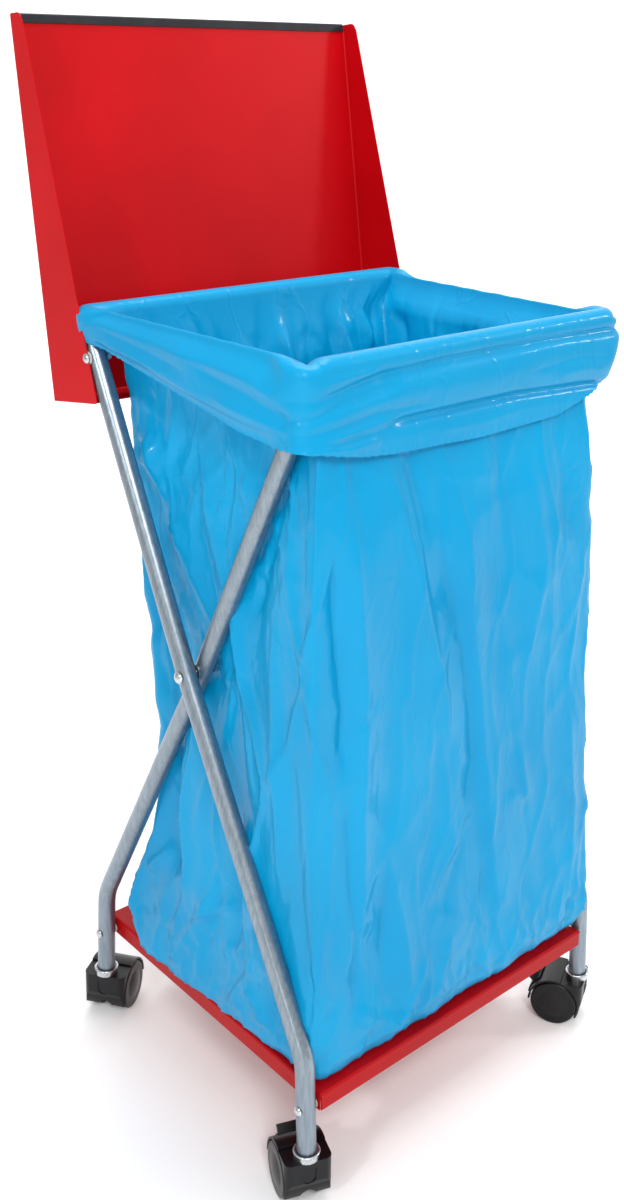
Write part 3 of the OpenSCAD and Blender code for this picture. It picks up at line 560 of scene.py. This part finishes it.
# Folds of the cuff: on the front as (x, z) points, on the left as (y, z).
CUFF_FRONT = [
    ([(-212, 724), (-159, 741), (-88, 750)], -4.2, 9, 4),
    ([(-206, 716), (-120, 728), (-40, 726)], -3.2, 6, 5),
    ([(-182, 713), (-111, 718), (-86, 722)], 3.0, 4, 5),
    ([(-200, 708), (-151, 703), (-110, 706)], 3.0, 4, 6),
    ([(-190, 756), (-150, 762), (-110, 764)], 2.2, 5, 8),
    ([(20, 752), (120, 756), (190, 752)], 1.2, 8, 10),
    ([(60, 735), (140, 740), (196, 734)], -1.5, 9, 6),
    ([(100, 724), (150, 728), (192, 720)], 1.3, 6, 5),
    ([(-60, 700), (10, 698), (70, 703)], 0.9, 5, 4),
]
CUFF_LEFT = [
    ([(-158, 724), (-90, 742), (-10, 756)], -3.0, 10, 7),
    ([(-158, 716), (-100, 724), (-40, 732)], 2.6, 7, 5),
    ([(130, 752), (60, 746), (-20, 728), (-140, 712)], 2.4, 4, 9),
    ([(-150, 740), (-80, 756), (40, 764)], 2.2, 9, 12),
    ([(120, 764), (50, 756), (-20, 745)], -1.6, 8, 8),
]


def line_at(u, points):
    """The height of a line of (place, height) points."""
    places, heights = zip(*points)
    return np.interp(u, places, heights)


def hem_height():
    """The cuff's free edge: high at the back, lowest at the middle of the front."""
    front = smooth(-132, -148, RIM_Y)
    return line_at(RIM_Y, HEM_SIDE) * (1 - front) + line_at(RIM_X, HEM_FRONT) * front


def cuff_out(x, y, z, front, side, left):
    """How far the cuff stands off the line of the bars, in mm."""
    upper, lower = line_at(x, UPPER_GROOVE), line_at(x, LOWER_GROOVE)
    mid = np.clip((z - lower) / np.maximum(upper - lower, 1), 0, 1)
    a = 4.6 * np.sin(np.pi * mid) - 2.6 * bell(z - upper, 4.5) * smooth(-200, -120, x)
    a += -3.4 * bell(z - lower, 3.4) * smooth(-130, -70, x) + 1.6 * smooth(lower, lower - 14, z)
    for points, height, gentle, steep in CUFF_FRONT:
        a += crease(x, z, points, height, gentle, steep)
    b = 1.5 * np.sin((778 - z) / 12.5 + 0.010 * y + 0.6) * smooth(778, 764, z)
    for points, height, gentle, steep in CUFF_LEFT:
        b += left * crease(y, z, points, height, gentle, steep)
    return a * front + b * side


def floor_rows():
    """Rings from the middle out to the bottom edge, with flattened pleats."""
    base = body_row(TRAY_Z + 2)
    rows = []
    for f in np.linspace(0.06, 0.93, 10):
        pleat = 1.1 * smooth(0.2, 0.9, f) * np.abs(wave(ARC, 23, 12, 40, 10))
        rows.append(np.c_[base * f, FLOOR_Z + pleat])
    return rows


def body_rows():
    """The body, each row moved along its outline's normal by the folds."""
    zs = np.r_[np.linspace(117, 170, 14), np.linspace(175, 330, 30),
               np.linspace(336, 640, 46), np.linspace(646, 742, 18)]
    plan = np.array([body_row(z) for z in zs])
    out = np.array([normals(p) for p in plan])
    z = np.repeat(zs[:, None], N, 1)
    tau = np.repeat(ARC[None, :], len(zs), 0)
    off = film_folds(plan, z, out, tau) * (1 - 0.7 * smooth(715, 745, z))
    off = np.clip(off, -MOST_FOLD, MOST_FOLD) * np.where(z < 135, 0.55, 1.0)
    return [np.c_[plan[k] + out[k] * off[k][:, None], z[k]] for k in range(len(zs))]


def rim_rows(last, roll, top):
    """From the body's last row up the inside, then over the bar or the folded side."""
    corner = 3.2 * bell(np.abs(RIM_X) - 180, 17) * bell(np.abs(RIM_Y) - 146, 14)
    inside = RIM - RIM_N * (roll + corner)[:, None]
    rows = []
    for f in (0.35, 0.7):
        rows.append(np.c_[last[:, :2] * (1 - f) + inside * f, last[:, 2] * (1 - f) + (top - 3) * f])
    for s in np.radians(np.linspace(0, 170, 10)):
        q = RIM - RIM_N * (roll * math.cos(s) + corner * max(math.cos(s), 0))[:, None]
        rows.append(np.c_[q, top + roll * math.sin(s)])
    return rows


def cuff_rows(roll, top):
    """The cuff: hangs from the rim, drawn tight to the tubes, folded along its length."""
    hem = hem_height()
    front = smooth(-130, -148, RIM_Y)
    side = 1 - smooth(0.90, 0.99, np.abs(RIM_Y) / BAR_Y)
    left = (RIM_X < 0).astype(float)
    right_end = smooth(150, 196, RIM_X) * front
    pinched = bell(RIM_X + 190, 16) * bell(RIM_Y + BAR_Y, 22)
    rows = []
    for f in np.linspace(0.02, 1.0, 42):
        z = top * (1 - f) + hem * f
        out = roll + (CUFF_OUT - roll) * smooth(0, 0.34, f)
        shape = 1.2 * cuff_out(RIM_X, RIM_Y, z, front, side, left) * smooth(0, 0.12, f)
        tuck = -4.0 * smooth(0.7, 1.0, f) * side * (1 - ON_BAR)
        rip = 0.5 * wave(ARC, 41, 90, 200, 14) * smooth(0.86, 1.0, f)
        squeeze = -5.0 * pinched * bell(z - 722, 13)
        q = RIM + RIM_N * (out + shape + tuck + rip + squeeze)[:, None]
        # the spare film of the right end stands out as an ear under the rim
        q[:, 0] += right_end * (9.0 * np.exp(-((f - 0.22) / 0.24) ** 2) - 5.0 * smooth(0.45, 0.9, f))
        rows.append(np.c_[q, z + 0.6 * wave(ARC, 43, 120, 250, 12) * smooth(0.97, 1.0, f)])
    return rows


def build_bag():
    roll = EDGE_R + (ROLL_R - EDGE_R) * ON_BAR
    ripple = 0.25 * wave(ARC, 31, 20, 60, 10) * (1 - ON_BAR)
    sag = 7.0 * smooth(150, 190, RIM_X) * (1 - ON_BAR)
    lip = 5.0 * bell(RIM_X + 186, 9) * smooth(-120, -146, RIM_Y)
    top = TOP_Z - roll - lip - sag + ripple
    rows = floor_rows() + body_rows()
    rows += rim_rows(rows[-1], roll, top) + cuff_rows(roll, top)
    verts = np.vstack([np.concatenate(rows), [[0, 0, FLOOR_Z]]]) * MM
    i = np.arange(N)
    j = (i + 1) % N
    faces = [np.c_[a + i, a + j, a + N + j, a + N + i] for a in range(0, (len(rows) - 1) * N, N)]
    middle = [(len(verts) - 1, jj, ii) for ii, jj in zip(i, j)]
    return mesh_object("film_bag", verts, [tuple(f) for f in np.concatenate(faces)] + middle, FILM)


bag = build_bag()
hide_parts("bag")
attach(bag, "stand")


def floor():
    """A pale studio sweep: flat under the stand, then up behind it in one curve."""
    m = Mat("floor_pale")
    n = m.noise(3.0, 2.0)
    col = m.ramp(n, "Fac", [(0.3, rgb("#F6F6F6")), (0.7, rgb("#FAFAFA"))])
    m.link(col, "Color", m.p, "Base Color")
    m.set(Roughness=0.9, Specular_IOR_Level=0.1)
    back = Vector((0.70, 0.714, 0))
    across = Vector((0.714, -0.70, 0))
    near, bend, radius, height, half_width = -5.0, 1.4, 1.2, 4.5, 5.0
    line = [(near, 0.0), (bend, 0.0)]
    for a in range(6, 91, 6):
        t = math.radians(a)
        line.append((bend + radius * math.sin(t), radius - radius * math.cos(t)))
    line.append((bend + radius, height))
    verts = [back * d + across * w + Vector((0, 0, z)) for d, z in line for w in (-half_width, half_width)]
    faces = [(2 * k, 2 * k + 1, 2 * k + 3, 2 * k + 2) for k in range(len(line) - 1)]
    mesh_object("stage_floor", verts, faces, m)


def area_light(name, at, to, size, power):
    d = bpy.data.lights.new(name, "AREA")
    d.shape = "RECTANGLE"
    d.size = d.size_y = size
    d.energy = power
    o = bpy.data.objects.new(name, d)
    bpy.context.scene.collection.objects.link(o)
    o.location = at
    o.rotation_euler = (Vector(to) - Vector(at)).to_track_quat("-Z", "Y").to_euler()


def studio():
    """A broad key from the front left, small lights for the film's glints, and a white room."""
    area_light("key", (-1.7, -2.5, 2.7), (0, 0, 0.5), 0.9, 61)
    area_light("rake", (2.3, -1.35, 1.7), (0, 0, 0.5), 0.4, 13)
    area_light("low", (-2.1, -1.9, 0.3), (0, 0, 0.3), 0.14, 3)
    area_light("top", (0.6, 0.1, 3.0), (0, 0, 0.5), 1.6, 22)
    area_light("glint", (-2.2, -0.6, 1.6), (0, 0, 0.5), 0.2, 12)
    area_light("sweep", (0.5, 0.5, 3.6), (1.9, 1.9, 0.9), 2.5, 60)
    world = bpy.data.worlds.new("studio")
    world.use_nodes = True
    bg = world.node_tree.nodes["Background"]
    bg.inputs["Color"].default_value = (1.0, 1.0, 1.0, 1.0)
    bg.inputs["Strength"].default_value = 0.62
    bpy.context.scene.world = world


def camera():
    """The photograph's viewpoint, with its focal length and centre shift in pixels."""
    image_height, sensor = 1200, 36.0
    focal, shift_x, shift_y = 1452.93, 60.18, -146.57
    yaw, pitch, roll = (math.radians(a) for a in (44.53, 16.06, -1.62))
    ahead = Vector((math.sin(yaw) * math.cos(pitch), math.cos(yaw) * math.cos(pitch), -math.sin(pitch)))
    level = Vector((math.cos(yaw), -math.sin(yaw), 0))
    below = ahead.cross(level)
    right = math.cos(roll) * level + math.sin(roll) * below
    down = -math.sin(roll) * level + math.cos(roll) * below
    cam = bpy.data.cameras.new("camera")
    cam.sensor_width = sensor
    cam.lens = focal / image_height * sensor
    cam.shift_x = -shift_x / image_height
    cam.shift_y = shift_y / image_height
    cam.clip_end = 50
    o = bpy.data.objects.new("camera", cam)
    bpy.context.scene.collection.objects.link(o)
    m = Matrix((right, -down, -ahead)).transposed().to_4x4()
    m.translation = Vector((-0.92584, -0.97332, 1.0226))
    o.matrix_world = m
    bpy.context.scene.camera = o


floor()
studio()
camera()
bpy.context.scene.view_settings.view_transform = "Standard"
